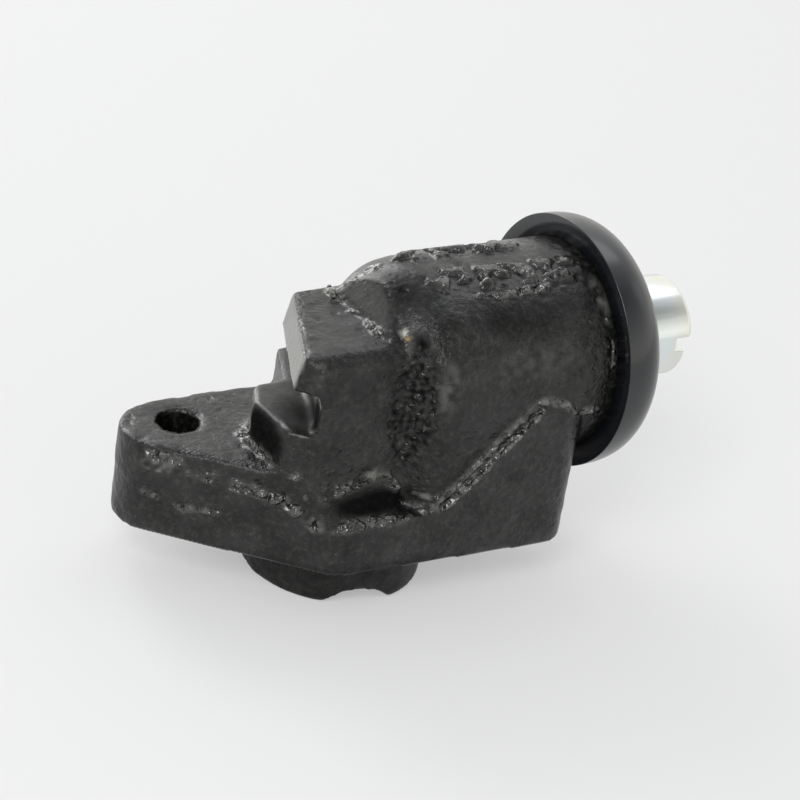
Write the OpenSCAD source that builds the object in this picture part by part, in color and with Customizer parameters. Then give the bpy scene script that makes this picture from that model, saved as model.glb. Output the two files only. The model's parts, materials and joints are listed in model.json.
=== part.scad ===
// Hydraulic wheel cylinder of a drum brake: one piston, with a fixed shoe abutment at the closed end.
// Lengths in millimetres. Origin: centre of the spigot, on the mounting face.
// +X runs along the bore to the piston, +Z points away from the backplate.

/* [Bore and barrel] */
// Diameter of the bore
bore_d = 25.4; // [22:0.1:28.6]
// Outside diameter of the barrel
barrel_d = 34.8; // [33:0.1:40]
// Height of the bore's axis above the mounting face
axis_h = 27; // [25:0.5:32]
// Open end of the barrel
mouth_x = 43; // [41:0.5:50]
// Blind end of the bore
blind_x = 5; // [3:0.5:8]
// Outside of the closed end
dome_x = -1; // [-3:0.5:1]
// Radius of the closed end's rounded corner
dome_r = 10; // [8:0.5:12]
// Chamfer at the bore's mouth
mouth_chamfer = 0.8; // [0.3:0.1:1.5]

/* [Flange and spigot] */
// Thickness of the flange at its edge
flange_t = 9.5; // [7:0.5:12]
// Fixing hole from the spigot's centre, along the bore
fix_x = 25; // [22:0.5:28]
// Fixing hole from the spigot's centre, across the bore
fix_y = 11.2; // [8:0.2:14]
// Tapping diameter of the fixing holes
fix_d = 6.9; // [5:0.1:8.5]
// Depth of the blind fixing hole
fix_depth = 14; // [10:0.5:16]
// Radius of the ear round its hole
ear_r = 7.6; // [6.5:0.1:9]
// Height of the ear's top at its hole
ear_h = 16; // [12:0.5:19]
// Rise of the ear's top toward the barrel, in degrees
ear_slope = 2; // [0:0.5:10]
// Diameter of the spigot
spigot_d = 29.4; // [27:0.1:33]
// Length of the spigot below the mounting face
spigot_l = 7.4; // [5:0.2:10]
// Step in from the barrel's side to the wall under it
wall_step = 1; // [0.6:0.1:2]
// Left corner of the wall under the barrel
wall_x = 7.2; // [6:0.1:9]
// Right end of the wall under the barrel
wall_end = 32; // [29:0.5:33]
// Height of the cheek round the blind fixing hole, at its ramp
cheek_h = 26.5; // [20:0.5:27]
// Fall of the cheek's top from its ramp to its end, in degrees
cheek_fall = 20; // [0:1:25]

/* [Shoe abutment] */
// Turn of the abutment from square to the bore, in degrees
skew = 25; // [0:1:30]
// Height of the abutment's top above the bore's axis
jaw_h = 10; // [8:0.5:12]
// Half width of the abutment
jaw_half = 11.4; // [9:0.1:13]
// Front of the upper jaw from the spigot's centre, at its top
jaw_s = 10.9; // [9:0.1:13]
// Lean of the upper jaw's front, outward at its foot
jaw_lean = 1.3; // [0.5:0.1:2]
// Crease between the abutment's top and the closed end
crease_x = -1.6; // [-3:0.1:0]
// Slope from the crease up to the closed end, in degrees
crease_slope = 53.5; // [50:0.5:58]
// Height of the shoe slot
slot_h = 7; // [5:0.5:9]
// Back of the shoe slot from the spigot's centre
slot_s = 7.6; // [6:0.1:9]
// Front of the lower jaw from the spigot's centre
lip_s = 11.8; // [10:0.1:14]
// Half width of the lower jaw on its far side
lip_half = 16.6; // [14:0.1:18]
// Reach of the nose beyond the lower jaw
nose_l = 4.4; // [2:0.1:5]
// Chamfer along the jaw's top edges
jaw_chamfer = 2; // [0.5:0.1:3]

/* [Ports] */
// Tapping diameter of the two fluid ports
port_d = 8.5; // [6:0.1:9]
// Port centres from the spigot's centre, along the bore
port_x = 7.2; // [6:0.1:8]
// Port centres from the spigot's centre, across the bore
port_y = 6.2; // [5:0.1:7]
// Depth of the ports
port_depth = 12; // [9:0.5:14]
// Passage from a port to the bore
passage_d = 3; // [2:0.1:4]

/* [Piston] */
// Radial running clearance of the piston in the bore
run_clear = 0.04; // [0.02:0.01:0.08]
// Inner end of the piston at rest
piston_x = 22.5; // [20:0.5:25]
// Length of the piston's head
head_l = 13; // [11:0.5:16]
// Diameter of the piston's stem
stem_d = 16.8; // [14:0.1:19]
// Outer end of the stem at rest
tip_x = 60.6; // [56:0.2:66]
// Rounding of the stem's end
tip_chamfer = 1; // [0.3:0.1:2]
// Width of the slot across the stem's end
tip_slot_w = 2.4; // [1.5:0.1:6]
// Depth of the slot across the stem's end
tip_slot_l = 3.6; // [2:0.1:8]
// Amount the lower half of the stem's end is shorter
tip_step = 1.6; // [0:0.1:3]
// Turn of the piston in its bore, in degrees
piston_turn = -3; // [-30:1:30]

/* [Cup, spreader and spring] */
// Length of the rubber cup
cup_l = 6.4; // [5:0.1:8]
// Thickness of the cup's back
cup_back = 2.6; // [2:0.1:4]
// Thickness of the cup's lip
cup_lip = 1.8; // [1.2:0.1:2.6]
// Narrowing of the cup's inside from its lip to its back
cup_flare = 1.2; // [0.8:0.1:1.6]
// Rounding of the cup's inside corner
cup_round = 0.6; // [0.4:0.1:1]
// Thickness of the spreader plate
plate_t = 1; // [0.6:0.1:1.5]
// Hole in the spreader plate
plate_hole_d = 3.2; // [2:0.1:5]
// Height of the spreader's rim
rim_l = 1.4; // [0.8:0.1:2]
// Thickness of the spreader's rim
rim_t = 0.8; // [0.5:0.1:1.2]
// Wire of the spring
wire_d = 1; // [0.7:0.1:1.4]
// Coil radius at the blind end, to the wire's centre
coil_big = 9.5; // [8:0.1:10.5]
// Coil radius at the spreader, to the wire's centre
coil_small = 5; // [3:0.1:6]
// Turns of the spring
coil_turns = 3.5; // [2:0.5:5]

/* [Dust boot] */
// Outside diameter of the boot
boot_d = 42; // [38:0.5:48]
// Reach of the boot back over the barrel's mouth
boot_over = 5; // [4:0.5:7]
// Length of the boot's outer wall
boot_wall_l = 5.2; // [3:0.1:7]
// Bulge of the boot's front
boot_bulge = 4.8; // [2.5:0.1:6]
// Thickness of the boot's front
boot_t = 1.7; // [1.2:0.1:2.2]
// Depth of the boot's groove in the barrel
groove_l = 1.4; // [0.8:0.1:1.8]
// Width of the boot's groove in the barrel
groove_w = 2.4; // [1.6:0.1:3]
// Clearance between the boot and the metal
boot_clear = 0.3; // [0.25:0.05:0.4]

/* [Hidden] */
bore_r = bore_d / 2;
barrel_r = barrel_d / 2;
spigot_r = spigot_d / 2;
stem_r = stem_d / 2;
boot_r = boot_d / 2;
piston_r = bore_r - run_clear;
wall_half = barrel_r - wall_step;
slot_z0 = axis_h - slot_h / 2;
slot_z1 = axis_h + slot_h / 2;
jaw_z = axis_h + jaw_h;
cup_x = piston_x - cup_l;
plate_x = piston_x - cup_back - plate_t;
seat_r = piston_r - cup_lip - cup_flare - cup_round;
boot_x = mouth_x - boot_over;
boot_front_x = boot_x + boot_wall_l;
lip_x = boot_front_x + boot_bulge - boot_t;
groove_x = mouth_x - 1.2 - groove_w;
// centres and radii of the flange's corners, counter-clockwise from the ear
corners = [
    [-fix_x, fix_y, ear_r],
    [-fix_x - 2.2, fix_y - 0.2, ear_r - 0.4],
    [-6.8, -10.3, 6],
    [29.4, -13.4, 4.8],
    [29.4, -1, 4.8],
    [7, 10.6, 6],
];
$fn = 64;

// a point on the skewed abutment: s toward the ear, y across the bore
function on_skew(s, y) = [-(s - y * sin(skew)) / cos(skew), y];

// unit normal of the common tangent on the right of the line from circle a to circle b
function tangent(a, b) =
    let(d = norm([b.x - a.x, b.y - a.y]), u = [b.x - a.x, b.y - a.y] / d, k = (a.z - b.z) / d)
    u * k + [u.y, -u.x] * sqrt(1 - k * k);

// children turned from +Z onto the bore's axis
module along_bore() {
    translate([0, 0, axis_h])
        rotate([0, 90, 0])
            children();
}

// outline round a ring of circles, each given by centre and radius;
// the straight runs lie a hair inside the tangents, so that each arc has clear ends
module ring_outline(ring) {
    count = len(ring);
    polygon([for (c = ring) [c.x, c.y]]);
    for (i = [0 : count - 1]) {
        a = ring[i];
        b = ring[(i + 1) % count];
        n = tangent(a, b);
        translate([a.x, a.y])
            circle(r = a.z);
        polygon([
            [a.x, a.y],
            [a.x, a.y] + (a.z - 0.05) * n,
            [b.x, b.y] + (b.z - 0.05) * n,
            [b.x, b.y]
        ]);
    }
}

// barrel with its rounded closed end, before boring
module barrel_solid() {
    along_bore()
        rotate_extrude()
            polygon(concat(
                [[0, mouth_x], [0, dome_x]],
                [
                    for (t = [0 : 10 : 90])
                        [barrel_r - dome_r * (1 - sin(t)), dome_x + dome_r * (1 - cos(t))]
                ],
                [[barrel_r, mouth_x]]
            ));
}

// barrel and the wall under it, both slanted in to the abutment at the closed end
module barrel_and_wall() {
    near = [dome_x + 2, -jaw_half];
    slant = [wall_x, -wall_half] - near;
    start = near - 0.6 * slant;
    end = near + 1.4 * slant;
    intersection() {
        union() {
            barrel_solid();
            linear_extrude(height = axis_h - 4)
                intersection() {
                    translate([dome_x, -wall_half])
                        square([wall_end - dome_x, 2 * wall_half]);
                    ring_outline(corners);
                }
        }
        linear_extrude(height = axis_h + barrel_r + 1)
            polygon([
                start,
                end,
                [mouth_x + 1, end.y - 1],
                [mouth_x + 1, 1 - end.y],
                [end.x, -end.y],
                [start.x, -start.y]
            ]);
    }
}

// flange edge of even thickness, with the spigot under it
module flange_plate() {
    linear_extrude(height = flange_t)
        ring_outline(corners);
    translate([0, 0, -spigot_l])
        cylinder(r1 = spigot_r - 0.4, r2 = spigot_r, h = 0.4);
    translate([0, 0, 0.4 - spigot_l])
        cylinder(r = spigot_r, h = spigot_l);
}

// thick part of the ear: a sloping top, hollowed down to the flange's near edge beside the abutment
module ear_pad() {
    difference() {
        translate([0, 0, flange_t - 1])
            linear_extrude(height = 24 - flange_t)
                ring_outline([
                    [-fix_x, fix_y, ear_r - 0.1],
                    [-fix_x - 2.4, fix_y - 0.2, ear_r - 0.4],
                    [-6.8, -10.3, 5.9],
                    [-3, -10.3, 5.9],
                    [2, 10.4, 6]
                ]);
        translate([-fix_x, fix_y, ear_h])
            rotate([0, -ear_slope, 0])
                translate([-60, -60, 0])
                    cube([120, 120, 40]);
        translate([0, -16.3, flange_t + 0.1])
            rotate([50, 0, 0])
                translate([-60, -60, 0])
                    cube([120, 120, 40]);
    }
}

// abutment in plan: front at distance s, near corner cut off by a bevel
module abutment_plan(s, bevel, far) {
    corner = on_skew(s, bevel - jaw_half - 2.6);
    polygon([
        [8, corner.y - bevel],
        corner + [bevel, -bevel],
        corner,
        on_skew(s, far),
        [8, far]
    ]);
}

// nose under the slot, where the shoe's tip rests
module nose_plan() {
    tip = on_skew(lip_s + nose_l, 0);
    ring_outline([
        [tip.x + 3, 1, 2.6],
        [tip.x + 2.2, -7.2, 1.6],
        [0, -7.2, 1.6],
        [0, 4.4, 2.4],
        [tip.x + 4.6, 4.4, 2.4]
    ]);
}

// slope from the abutment's top up to the dome; its sides carry on the jaw's chamfers
module saddle() {
    foot_r = norm([jaw_h, jaw_half - jaw_chamfer]) - 0.3;
    side = jaw_half - 0.3;
    intersection() {
        rotate([90, 0, 0])
            translate([0, 0, -jaw_half])
                linear_extrude(height = 2 * jaw_half)
                    polygon([
                        [crease_x + 6, jaw_z - 6],
                        [crease_x, jaw_z - 6],
                        [crease_x, jaw_z],
                        [crease_x + 6, jaw_z + 6 * tan(crease_slope)]
                    ]);
        rotate([90, 0, 90])
            translate([0, 0, crease_x - 1])
                linear_extrude(height = 8)
                    polygon([
                        [-side, jaw_z - 7],
                        [side, jaw_z - 7],
                        [side, jaw_z - jaw_chamfer],
                        [side - 9, jaw_z - jaw_chamfer + 9],
                        [9 - side, jaw_z - jaw_chamfer + 9],
                        [-side, jaw_z - jaw_chamfer]
                    ]);
        along_bore()
            translate([0, 0, crease_x - 0.2])
                cylinder(r1 = foot_r, r2 = barrel_r - 1.4, h = 6);
    }
}

// upper jaw: its front leans out from the top down to the slot
module upper_jaw() {
    difference() {
        translate([0, 0, slot_z1])
            linear_extrude(height = jaw_z - slot_z1)
                abutment_plan(jaw_s + jaw_lean, 5.2, jaw_half);
        translate([-jaw_s / cos(skew), 0, jaw_z])
            rotate([0, 0, -skew])
                rotate([0, atan(jaw_lean / (jaw_z - slot_z1)), 0])
                    translate([-40, -60, -40])
                        cube([40, 120, 80]);
    }
}

// upper jaw, slot and lower jaw with its nose
module abutment() {
    intersection() {
        union() {
            upper_jaw();
            linear_extrude(height = jaw_z - 1)
                abutment_plan(slot_s, 0.2, jaw_half);
            linear_extrude(height = slot_z0)
                abutment_plan(lip_s - 0.4, 5.4, lip_half);
            linear_extrude(height = slot_z0)
                nose_plan();
        }
        rotate([90, 0, 90])
            translate([0, 0, -40])
                linear_extrude(height = 80)
                    polygon([
                        [-jaw_half - 1.6, 0],
                        [-jaw_half, jaw_z - jaw_chamfer],
                        [jaw_chamfer - jaw_half, jaw_z],
                        [jaw_half - jaw_chamfer / 2, jaw_z],
                        [jaw_half, jaw_z - jaw_chamfer / 2],
                        [jaw_half + 0.2, slot_z0 + 1],
                        [lip_half, slot_z0],
                        [lip_half + 0.6, 0]
                    ]);
        linear_extrude(height = 60)
            union() {
                ring_outline(corners);
                translate([-20, -8])
                    square([40, 26]);
            }
    }
}

// cheek round the blind fixing hole: a long ramp, then a gentle fall
module cheek() {
    top_x = 8 + cheek_h - flange_t - 0.6;
    intersection() {
        linear_extrude(height = cheek_h)
            ring_outline(corners);
        translate([0, -6, 0])
            rotate([90, 0, 0])
                linear_extrude(height = 20)
                    polygon([
                        [8 - flange_t, 0],
                        [8, flange_t + 0.4],
                        [top_x, cheek_h],
                        [40, cheek_h - (40 - top_x) * tan(cheek_fall)],
                        [40, 0]
                    ]);
    }
}

module body() {
    color("#1d1e1f")
        difference() {
            union() {
                flange_plate();
                ear_pad();
                abutment();
                saddle();
                barrel_and_wall();
                cheek();
            }
            along_bore()
                translate([0, 0, blind_x])
                    cylinder(r = bore_r, h = mouth_x);
            along_bore()
                translate([0, 0, mouth_x - mouth_chamfer])
                    cylinder(r1 = bore_r, r2 = bore_r + 2 * mouth_chamfer, h = 2 * mouth_chamfer);
            along_bore()
                translate([0, 0, groove_x])
                    difference() {
                        cylinder(r = barrel_r + 4, h = groove_w);
                        translate([0, 0, -1])
                            cylinder(r = barrel_r - groove_l, h = groove_w + 2);
                    }
            translate([-fix_x, fix_y, -1])
                cylinder(d = fix_d, h = 40);
            translate([fix_x, -fix_y, -1])
                cylinder(d = fix_d, h = fix_depth + 1);
            for (side = [-1, 1]) {
                translate([port_x, side * port_y, -spigot_l - 1])
                    cylinder(d = port_d, h = port_depth + 1);
                translate([port_x, side * port_y, port_depth - spigot_l - 1])
                    cylinder(d = passage_d, h = axis_h - port_depth);
            }
            // hollow in the spigot's rim, on the cheek's side
            rotate([0, 0, -101])
                translate([spigot_r - 3.6, 0, -spigot_l - 4.4])
                    rotate([0, 90, 0])
                        cylinder(r = 7, h = 12);
        }
}

module piston() {
    color("#c9cbc4")
        along_bore()
            rotate([0, 0, piston_turn])
                difference() {
                    union() {
                        translate([0, 0, piston_x])
                            cylinder(r1 = piston_r - 0.6, r2 = piston_r, h = 0.6);
                        translate([0, 0, piston_x + 0.6])
                            cylinder(r = piston_r, h = head_l - 1.2);
                        translate([0, 0, piston_x + head_l - 0.6])
                            cylinder(r1 = piston_r, r2 = piston_r - 0.6, h = 0.6);
                        translate([0, 0, piston_x + 1])
                            cylinder(r = stem_r, h = tip_x - tip_chamfer - piston_x - 1);
                        translate([0, 0, tip_x - tip_chamfer])
                            cylinder(r1 = stem_r, r2 = stem_r - tip_chamfer, h = tip_chamfer);
                    }
                    // groove that the boot's lip closes on
                    translate([0, 0, lip_x - boot_clear])
                        difference() {
                            cylinder(r = stem_r + 1, h = boot_t + 2 * boot_clear);
                            translate([0, 0, -1])
                                cylinder(r = stem_r - 1, h = boot_t + 4);
                        }
                    translate([-tip_slot_w / 2, -stem_r - 1, tip_x - tip_slot_l])
                        cube([tip_slot_w, stem_d + 2, tip_slot_l + 1]);
                    translate([tip_slot_w / 2 - 0.1, -stem_r - 1, tip_x - tip_step])
                        cube([stem_r + 2, stem_d + 2, tip_step + 1]);
                }
}

module cup_seal() {
    color("#26282a")
        along_bore()
            translate([0, 0, cup_x])
                rotate_extrude()
                    polygon([
                        [0, cup_l],
                        [piston_r - 0.3, cup_l],
                        [piston_r - 0.5, cup_l - 2],
                        [piston_r, 0.5],
                        [piston_r - 0.6, 0],
                        [piston_r - cup_lip, 0.2],
                        [seat_r + cup_round, cup_l - cup_back - cup_round],
                        [seat_r, cup_l - cup_back],
                        [0, cup_l - cup_back]
                    ]);
}

module cup_spreader() {
    color("#9a9da0")
        along_bore()
            translate([0, 0, plate_x])
                rotate_extrude()
                    polygon([
                        [plate_hole_d / 2, plate_t],
                        [seat_r - plate_t / 2, plate_t],
                        [seat_r, 0],
                        [seat_r + cup_round, -rim_l],
                        [seat_r + cup_round - rim_t, -rim_l],
                        [seat_r - plate_t, 0],
                        [plate_hole_d / 2, 0]
                    ]);
}

module cup_spring() {
    sides = 10;
    steps = 84;
    run = plate_x - 0.05 - blind_x - wire_d;
    // dead coil at each end, pitch between
    function climb(t) = let(k = 0.14) t < k ? 0 : t > 1 - k ? 1 : (t - k) / (1 - 2 * k);
    rings = [
        for (i = [0 : steps])
            let(t = i / steps, a = 360 * coil_turns * t, r = coil_big + (coil_small - coil_big) * climb(t))
            for (j = [0 : sides - 1])
                let(b = 360 * j / sides, q = r + wire_d / 2 * cos(b))
                [q * cos(a), q * sin(a), wire_d / 2 + run * climb(t) + wire_d / 2 * sin(b)]
    ];
    skins = [
        for (i = [0 : steps - 1])
            for (j = [0 : sides - 1])
                let(k = (j + 1) % sides)
                [i * sides + j, i * sides + k, (i + 1) * sides + k, (i + 1) * sides + j]
    ];
    first = [for (j = [0 : sides - 1]) sides - 1 - j];
    last = [for (j = [0 : sides - 1]) steps * sides + j];
    color("#a8abae")
        along_bore()
            translate([0, 0, blind_x])
                polyhedron(points = rings, faces = concat(skins, [first, last]));
}

module dust_boot() {
    lip_r = stem_r - 1 + boot_clear;
    top_r = boot_r - 0.3;
    // quarter ellipse of the front, from the outer wall in to the lip
    function front(t, inset) = [
        lip_r + (top_r - lip_r - inset) * cos(t),
        boot_front_x + (boot_bulge - inset) * sin(t)
    ];
    color("#16181c")
        along_bore()
            rotate_extrude()
                polygon(concat(
                    [
                        [barrel_r + 0.05, boot_x],
                        [boot_r - 0.5, boot_x],
                        [boot_r, boot_x + 0.5]
                    ],
                    [for (t = [0 : 10 : 90]) front(t, 0)],
                    [for (t = [90 : -10 : 20]) front(t, boot_t)],
                    [
                        [barrel_r + 0.05, mouth_x + 0.1],
                        [barrel_r + 0.05, groove_x + groove_w - 0.1],
                        [barrel_r - groove_l + 0.1, groove_x + groove_w - 0.1],
                        [barrel_r - groove_l + 0.1, groove_x + 0.1],
                        [barrel_r + 0.05, groove_x + 0.1]
                    ]
                ));
}

body();
piston();
cup_seal();
cup_spreader();
cup_spring();
dust_boot();
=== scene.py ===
"""Looks of a drum brake's wheel cylinder, dressed around its packed construction.

A sand-cast iron body under thick black paint, a moulded rubber boot and a zinc-plated piston.
Sizes are written in millimetres, and MM turns them to metres, the frame's unit.
"""

import json
import logging
import math
from collections.abc import Sequence
from dataclasses import dataclass
from enum import Enum
from functools import cached_property
from typing import NamedTuple

import bmesh
import bpy
from mathutils import Matrix, Vector, noise
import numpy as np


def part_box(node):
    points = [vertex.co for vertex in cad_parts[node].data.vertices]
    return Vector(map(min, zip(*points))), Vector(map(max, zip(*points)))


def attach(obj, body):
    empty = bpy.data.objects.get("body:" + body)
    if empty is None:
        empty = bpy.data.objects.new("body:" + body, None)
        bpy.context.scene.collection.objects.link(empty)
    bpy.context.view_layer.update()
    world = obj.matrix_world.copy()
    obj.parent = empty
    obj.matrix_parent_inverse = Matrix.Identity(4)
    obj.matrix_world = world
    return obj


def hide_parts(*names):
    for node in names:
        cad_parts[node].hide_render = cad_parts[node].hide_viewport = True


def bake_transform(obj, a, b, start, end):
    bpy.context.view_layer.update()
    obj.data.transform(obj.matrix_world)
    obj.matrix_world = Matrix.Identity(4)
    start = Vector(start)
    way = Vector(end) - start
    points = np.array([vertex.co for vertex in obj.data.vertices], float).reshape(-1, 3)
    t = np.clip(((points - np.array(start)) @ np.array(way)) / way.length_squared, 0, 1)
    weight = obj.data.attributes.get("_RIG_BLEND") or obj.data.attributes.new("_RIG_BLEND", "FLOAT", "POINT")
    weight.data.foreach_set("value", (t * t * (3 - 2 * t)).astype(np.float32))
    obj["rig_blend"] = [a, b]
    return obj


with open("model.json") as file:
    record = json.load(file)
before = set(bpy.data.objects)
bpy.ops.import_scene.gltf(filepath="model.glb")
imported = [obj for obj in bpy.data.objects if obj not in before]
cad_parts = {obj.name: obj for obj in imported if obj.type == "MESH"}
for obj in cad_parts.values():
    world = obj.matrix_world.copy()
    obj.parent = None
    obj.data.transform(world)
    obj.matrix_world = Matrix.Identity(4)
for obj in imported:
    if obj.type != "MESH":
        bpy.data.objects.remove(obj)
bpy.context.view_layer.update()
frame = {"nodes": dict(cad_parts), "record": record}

MM = 0.001
# points closer than this are one
MERGE = 0.001 * MM
# radius of a drop of paint, as a share of the drops' spacing
DROP_REACH = 0.65
# moves the rough patches' ridges off the paint's beads
ROUGH_SHIFT = Vector((7.3, 1.9, 4.1))
# what the casting's skin is marked with, point by point, for its paint to read; one mark is painted shade,
# one painted highlight
SKIN_MARKS = ("pool", "drops", "painted_highlight", "shade_and_matt", "sand", "rust")
log = logging.getLogger("wheel_cylinder")


class Body(Enum):
    """The two bodies of the frame that pieces ride on."""

    CASTING = "casting"
    PISTON_GROUP = "piston_group"


class Lump(Enum):
    """Kinds of lump on the casting's skin: round drops of paint, or flat islands with steep sides."""

    DROP = "drop"
    ISLAND = "island"


class Hole(NamedTuple):
    """A hole drilled from below: its axis, its end and its radius in millimetres."""

    x: float
    y: float
    top: float
    r: float


def srgb(code: str) -> tuple[float, float, float, float]:
    """Turns an sRGB hex colour to linear.

    Args:
        code: six hex digits, such as "1d1e1f".
    Returns:
        Linear red, green, blue and an alpha of 1.
    """
    parts = [int(code[i : i + 2], 16) / 255 for i in (0, 2, 4)]
    line = [c / 12.92 if c <= 0.04045 else ((c + 0.055) / 1.055) ** 2.4 for c in parts]
    return (line[0], line[1], line[2], 1.0)


def per_mm(size: float) -> float:
    """Pattern scale whose features are this many millimetres apart."""
    return 1 / (size * MM)


def smooth_step(value: float) -> float:
    """Eases a value from 0 to 1, clamped outside that."""
    t = min(1.0, max(0.0, value))
    return t * t * (3 - 2 * t)


def add_node(
    tree: bpy.types.NodeTree,
    kind: str,
    inputs: dict[str | int, object] | None = None,
    **settings: object,
) -> bpy.types.Node:
    """Adds one node to a tree.

    Args:
        tree: the material's or world's tree.
        kind: the node type's name.
        inputs: a constant, or the socket to link from, for each input's name or number.
        settings: the node's own properties.
    Returns:
        The new node.
    """
    node = tree.nodes.new(kind)
    for name, value in settings.items():
        setattr(node, name, value)
    for name, value in (inputs or {}).items():
        if isinstance(value, bpy.types.NodeSocket):
            tree.links.new(value, node.inputs[name])
        else:
            node.inputs[name].default_value = value
    return node


def set_stops(ramp: bpy.types.ColorRamp, stops: Sequence[tuple[float, str]]) -> None:
    """Sets a colour ramp's stops.

    Args:
        ramp: the ramp.
        stops: position and sRGB hex colour of each stop, in order.
    """
    while len(ramp.elements) < len(stops):
        ramp.elements.new(0.5)
    for element, (position, code) in zip(ramp.elements, stops):
        element.position = position
        element.color = srgb(code)


def new_material(name: str) -> tuple[bpy.types.Material, bpy.types.NodeTree, bpy.types.Node]:
    """Starts a material with one principled shader.

    Args:
        name: the finish's name.
    Returns:
        The material, its emptied tree and the shader.
    """
    material = bpy.data.materials.new(name)
    material.use_nodes = True
    tree = material.node_tree
    tree.nodes.clear()
    shader = add_node(tree, "ShaderNodeBsdfPrincipled")
    add_node(tree, "ShaderNodeOutputMaterial", {"Surface": shader.outputs["BSDF"]})
    return material, tree, shader


@dataclass(frozen=True)
class CastPaint:
    """Black enamel brushed thick over a sand casting: glossy, with the sand's grain showing through.

    Sizes and depths are in millimetres. The grain is coarser than sand, so that it shows.
    """

    stops: tuple[tuple[float, str], ...] = ((0.32, "060606"), (0.5, "0f0f0e"), (0.72, "2a2a27"))
    # painted shade: the near-black that darkens hollows, the spigot and other places in shade
    shade_and_matt: str = "050505"
    # painted highlight: the pale grey put on bead tops, ridges and corners where light would catch
    painted_highlight: str = "74746f"
    rust: str = "8f6c26"
    ior: float = 1.45
    roughness: float = 0.27
    pool_roughness: float = 0.1
    dull_roughness: float = 0.4
    drop_shine: float = 0.5
    blotch: float = 5.0
    unevenness: float = 0.8
    grain: float = 1.0
    grain_depth: float = 0.33
    lump: float = 2.2
    lump_depth: float = 0.3
    pit: float = 1.5
    pit_depth: float = 0.1
    pit_floor: float = 0.1
    pit_edge: float = 0.3
    pit_rarity: float = 0.5
    pit_fade: float = 0.1
    bead: float = 1.0
    bead_depth: float = 0.4
    calm_share: float = 0.15

    def heights(
        self,
        tree: bpy.types.NodeTree,
        grain: bpy.types.NodeSocket,
        marks: dict[str, bpy.types.NodeSocket],
    ) -> bpy.types.NodeSocket:
        """Adds up the skin's relief in millimetres: grain, soft lumps, pits, and drops of paint.

        Args:
            tree: the material's tree.
            grain: the sand's grain.
            marks: the casting's marks, by name.
        Returns:
            The relief's socket.
        """
        place = add_node(tree, "ShaderNodeTexCoord").outputs["Object"]
        lumps = add_node(
            tree,
            "ShaderNodeTexNoise",
            {"Vector": place, "Scale": per_mm(self.lump), "Detail": 2.0, "Roughness": 0.5},
        )
        cells = add_node(tree, "ShaderNodeTexVoronoi", {"Vector": place, "Scale": per_mm(self.pit)})
        pits = add_node(
            tree,
            "ShaderNodeMapRange",
            {
                "Value": cells.outputs["Distance"],
                "From Min": self.pit_floor,
                "From Max": self.pit_edge,
                "To Min": -self.pit_depth,
                "To Max": 0.0,
            },
            interpolation_type="SMOOTHSTEP",
        )
        chosen = add_node(
            tree,
            "ShaderNodeMapRange",
            {
                "Value": cells.outputs["Color"],
                "From Min": self.pit_rarity,
                "From Max": self.pit_rarity + self.pit_fade,
            },
        )
        drops = add_node(tree, "ShaderNodeTexVoronoi", {"Vector": place, "Scale": per_mm(self.bead)})
        beads = add_node(
            tree,
            "ShaderNodeMapRange",
            {
                "Value": drops.outputs["Distance"],
                "From Min": 0.0,
                "From Max": DROP_REACH,
                "To Min": self.bead_depth,
                "To Max": 0.0,
            },
            interpolation_type="SMOOTHSTEP",
        )
        calm = add_node(
            tree,
            "ShaderNodeMath",
            {0: marks["sand"], 1: 1 - self.calm_share, 2: self.calm_share},
            operation="MULTIPLY_ADD",
        ).outputs["Value"]
        layers = (
            (grain, self.grain_depth, marks["sand"]),
            (lumps.outputs["Fac"], self.lump_depth, calm),
            (pits.outputs["Result"], chosen.outputs["Result"], calm),
            (beads.outputs["Result"], 1.0, marks["drops"]),
        )
        total = 0.0
        for height, factor, share in layers:
            layer = add_node(tree, "ShaderNodeMath", {0: height, 1: factor}, operation="MULTIPLY")
            total = add_node(
                tree,
                "ShaderNodeMath",
                {0: layer.outputs["Value"], 1: share, 2: total},
                operation="MULTIPLY_ADD",
            ).outputs["Value"]
        return total

    def gloss(
        self, tree: bpy.types.NodeTree, marks: dict[str, bpy.types.NodeSocket]
    ) -> tuple[bpy.types.NodeSocket, bpy.types.NodeSocket]:
        """Works out how the paint shines: smooth where it pooled, uneven elsewhere, matt and less shiny where
        painted shade darkens it.

        Args:
            tree: the material's tree.
            marks: the casting's marks, by name.
        Returns:
            The sockets of the roughness and of the shine's level.
        """
        pooled = add_node(
            tree,
            "ShaderNodeMath",
            {0: marks["pool"], 1: self.pool_roughness - self.roughness, 2: self.roughness},
            operation="MULTIPLY_ADD",
        )
        roughness = add_node(
            tree,
            "ShaderNodeMath",
            {0: marks["shade_and_matt"], 1: self.dull_roughness, 2: pooled.outputs["Value"]},
            operation="MULTIPLY_ADD",
        )
        place = add_node(tree, "ShaderNodeTexCoord").outputs["Object"]
        patchy = add_node(
            tree,
            "ShaderNodeTexNoise",
            {"Vector": place, "Scale": per_mm(self.blotch), "Detail": 4.0, "Roughness": 0.6},
        )
        uneven = add_node(
            tree,
            "ShaderNodeMath",
            {0: patchy.outputs["Fac"], 1: self.unevenness, 2: (1 - self.unevenness) / 2},
            operation="MULTIPLY_ADD",
        )
        kept = add_node(tree, "ShaderNodeMath", {0: 1.0, 1: marks["shade_and_matt"]}, operation="SUBTRACT")
        gained = add_node(
            tree, "ShaderNodeMath", {0: marks["drops"], 1: self.drop_shine}, operation="MULTIPLY"
        )
        shine = add_node(
            tree,
            "ShaderNodeMath",
            {0: uneven.outputs["Value"], 1: kept.outputs["Value"], 2: gained.outputs["Value"]},
            operation="MULTIPLY_ADD",
        )
        return roughness.outputs["Value"], shine.outputs["Value"]

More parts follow.
